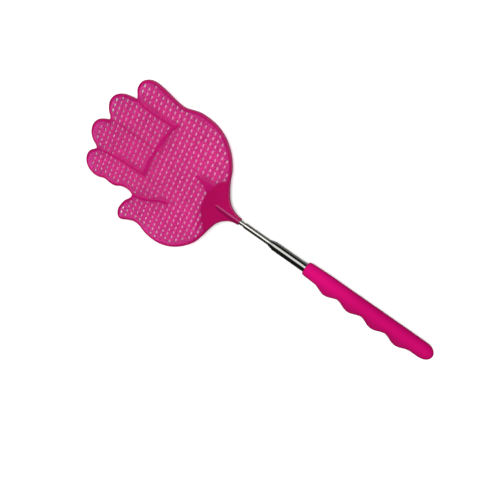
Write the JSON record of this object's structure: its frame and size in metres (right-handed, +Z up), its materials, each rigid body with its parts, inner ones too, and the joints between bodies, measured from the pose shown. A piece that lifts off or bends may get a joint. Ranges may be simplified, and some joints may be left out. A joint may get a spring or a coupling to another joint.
{
  "type": "fly swatter",
  "caption": "Hand-shaped open-mesh fly swatter with a polished telescopic shaft that slides and swivels, and a soft finger-grooved grip.",
  "frame": {"origin": "centre of the part's footprint as drawn out at rest, on the surface it lies on; the shaft's axis is at X = 2.33 mm, Z = 5.85 mm, and the mouth of the hand's socket at Y = 10.7 mm", "axes": "+Y along the shaft from the grip to the fingertips, +X away from the thumb, +Z up out of the hand's creased face"},
  "size_m": [0.104, 0.2814, 0.0117],
  "materials": {
    "hand_plastic": "semi-gloss moulded magenta plastic, slightly translucent",
    "grip_rubber": "satin soft-touch magenta",
    "tube_steel": "mirror-polished stainless steel",
    "foot_brass": "turned brass",
    "spring_bronze": "phosphor bronze strip",
    "plug_plastic": "black moulded plastic"
  },
  "bodies": {
    "handle": {"outer_tube": "tube_steel", "grip": "grip_rubber", "base_plug": "plug_plastic"},
    "second_springs": {"second_spring_upper": "spring_bronze", "second_spring_lower": "spring_bronze"},
    "second_section": {"second_tube": "tube_steel", "second_tube_foot": "foot_brass"},
    "third_springs": {"third_spring_upper": "spring_bronze", "third_spring_lower": "spring_bronze"},
    "third_section": {"third_tube": "tube_steel", "third_tube_foot": "foot_brass"},
    "fourth_springs": {"fourth_spring_upper": "spring_bronze", "fourth_spring_lower": "spring_bronze"},
    "fourth_section": {"fourth_tube": "tube_steel", "fourth_tube_foot": "foot_brass"},
    "tip_springs": {"tip_spring_upper": "spring_bronze", "tip_spring_lower": "spring_bronze"},
    "tip_section": {"tip_tube": "tube_steel", "tip_tube_foot": "foot_brass", "hand": "hand_plastic"}
  },
  "joints": [
    {"name": "second_slide", "type": "slide", "parent": "handle", "child": "second_springs", "axis": [0, 1, 0], "range_m": [0, 0.1075]},
    {"name": "second_swivel", "type": "hinge", "parent": "second_springs", "child": "second_section", "pos_m": [0.00233, -0.1318, 0.00585], "axis": [0, 1, 0], "continuous": true},
    {"name": "third_slide", "type": "slide", "parent": "second_section", "child": "third_springs", "axis": [0, 1, 0], "range_m": [0, 0.1008]},
    {"name": "third_swivel", "type": "hinge", "parent": "third_springs", "child": "third_section", "pos_m": [0.00233, -0.1235, 0.00585], "axis": [0, 1, 0], "continuous": true},
    {"name": "fourth_slide", "type": "slide", "parent": "third_section", "child": "fourth_springs", "axis": [0, 1, 0], "range_m": [-0.0192, 0.0749]},
    {"name": "fourth_swivel", "type": "hinge", "parent": "fourth_springs", "child": "fourth_section", "pos_m": [0.00233, -0.096, 0.00585], "axis": [0, 1, 0], "continuous": true},
    {"name": "tip_slide", "type": "slide", "parent": "fourth_section", "child": "tip_springs", "axis": [0, 1, 0], "range_m": [-0.003, 0.0844]},
    {"name": "tip_swivel", "type": "hinge", "parent": "tip_springs", "child": "tip_section", "pos_m": [0.00233, -0.0847, 0.00585], "axis": [0, 1, 0], "continuous": true}
  ]
}
